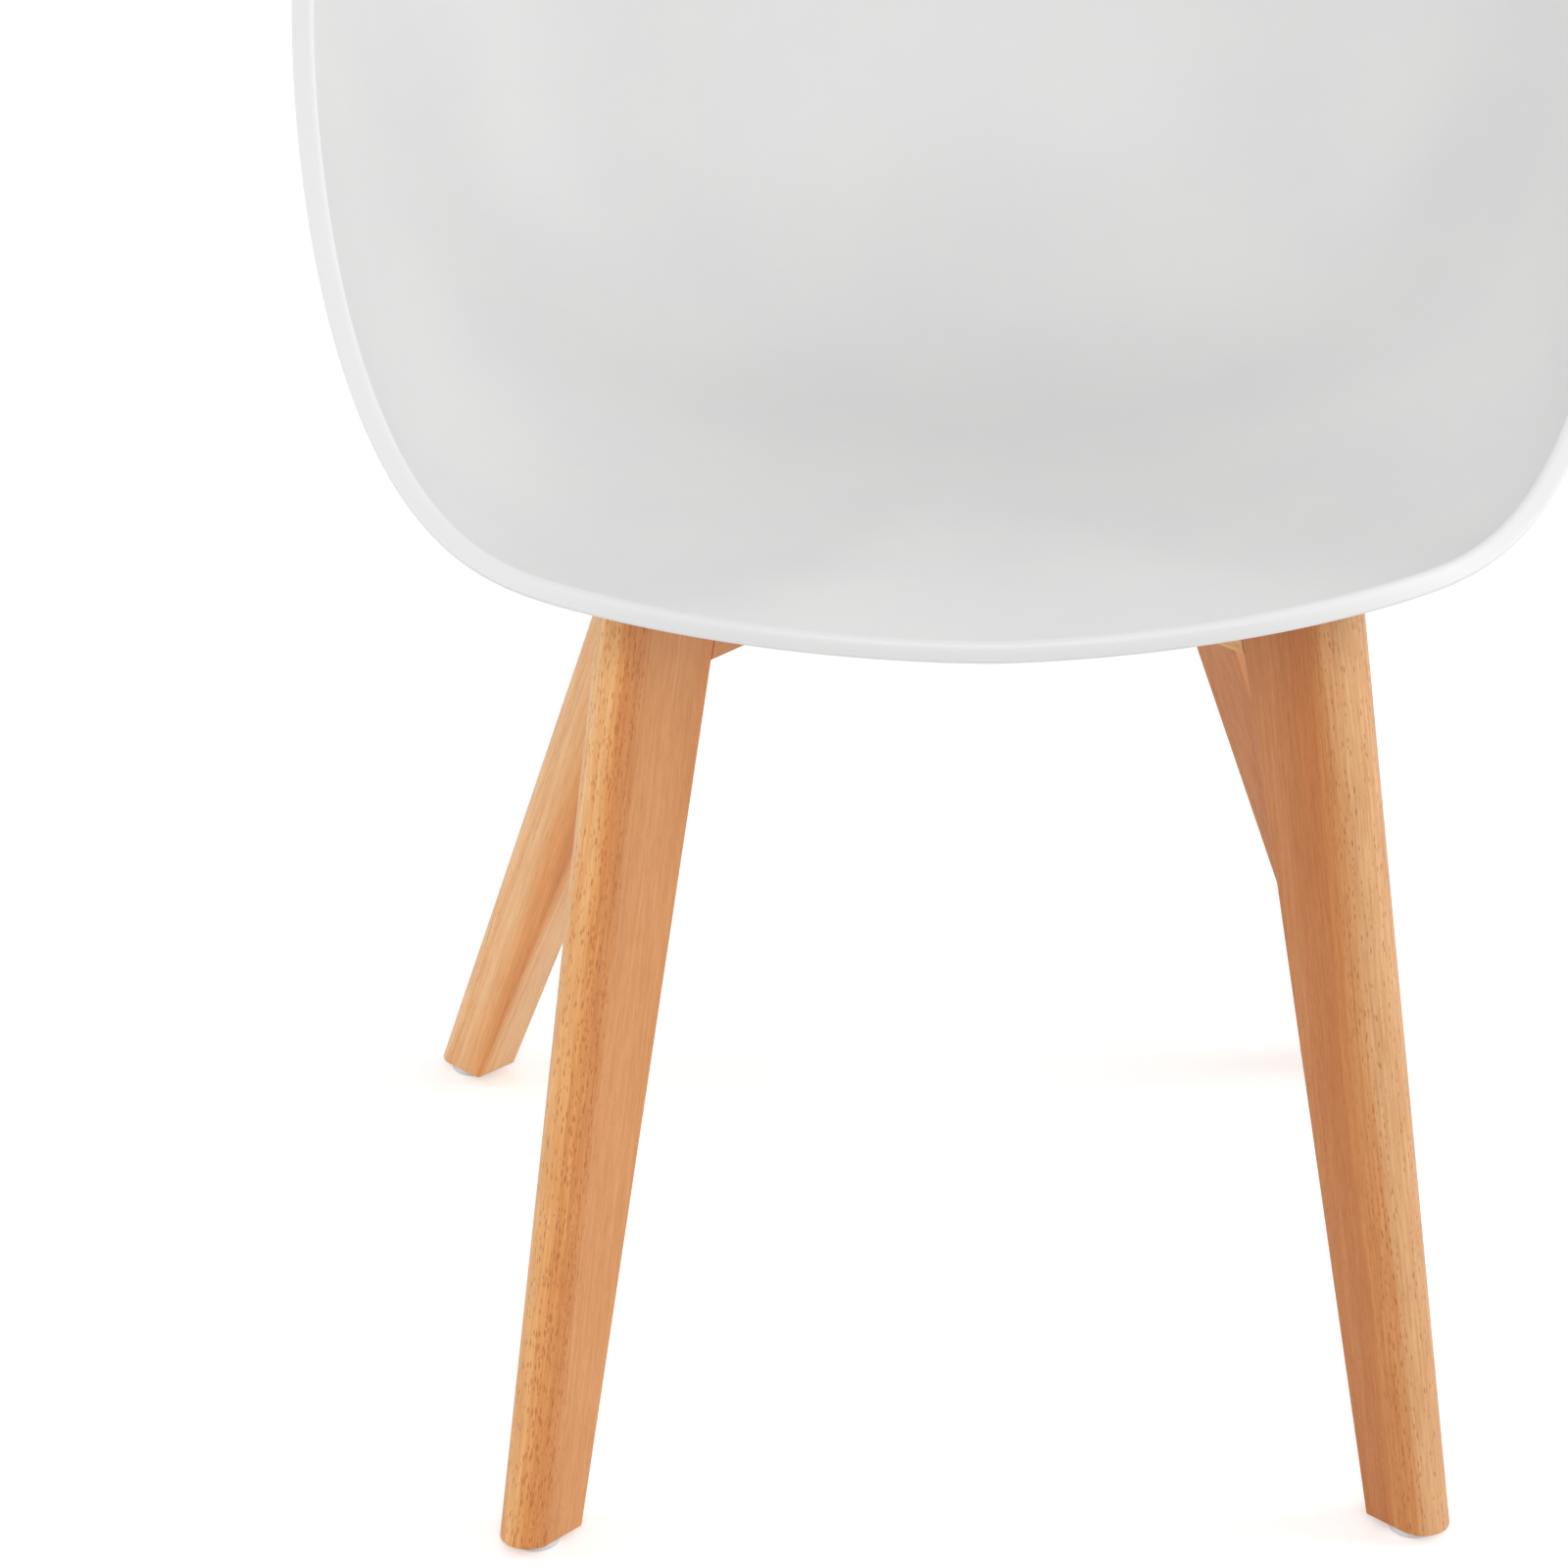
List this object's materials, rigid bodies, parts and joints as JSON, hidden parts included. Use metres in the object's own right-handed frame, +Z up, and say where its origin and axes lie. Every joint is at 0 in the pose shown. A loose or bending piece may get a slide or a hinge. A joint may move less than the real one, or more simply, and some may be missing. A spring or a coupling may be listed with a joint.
{
  "type": "moulded plastic shell armchair",
  "caption": "One-piece moulded plastic seat shell with low arms on a crossed beech base with tapered, splayed legs and plastic glides.",
  "frame": {"origin": "on the floor, below the middle of the shell's outline", "axes": "+Z up, the chair faces -Y, +X is right for someone who looks at its front"},
  "size_m": [0.5834, 0.5356, 0.7915],
  "materials": {
    "shell_plastic": "satin white polypropylene",
    "beech": "clear satin lacquer on solid beech",
    "dowel_wood": "plain fluted beech dowel",
    "pad_rubber": "black rubber",
    "glide_plastic": "white nylon",
    "insert_brass": "plain brass",
    "screw_steel": "zinc-plated steel"
  },
  "bodies": {
    "root": {"seat_shell": "shell_plastic", "leg_front_left": "beech", "leg_front_right": "beech", "leg_rear_left": "beech", "leg_rear_right": "beech", "rail_lower_lap": "beech", "rail_upper_lap": "beech", "dowels_front_left": "dowel_wood", "dowels_front_right": "dowel_wood", "dowels_rear_left": "dowel_wood", "dowels_rear_right": "dowel_wood", "pad_front_left": "pad_rubber", "pad_front_right": "pad_rubber", "pad_rear_left": "pad_rubber", "pad_rear_right": "pad_rubber", "glide_front_left": "glide_plastic", "glide_front_right": "glide_plastic", "glide_rear_left": "glide_plastic", "glide_rear_right": "glide_plastic", "threaded_inserts": "insert_brass", "shell_screws": "screw_steel", "screw_washers": "screw_steel", "glide_nails": "screw_steel"}
  },
  "joints": []
}
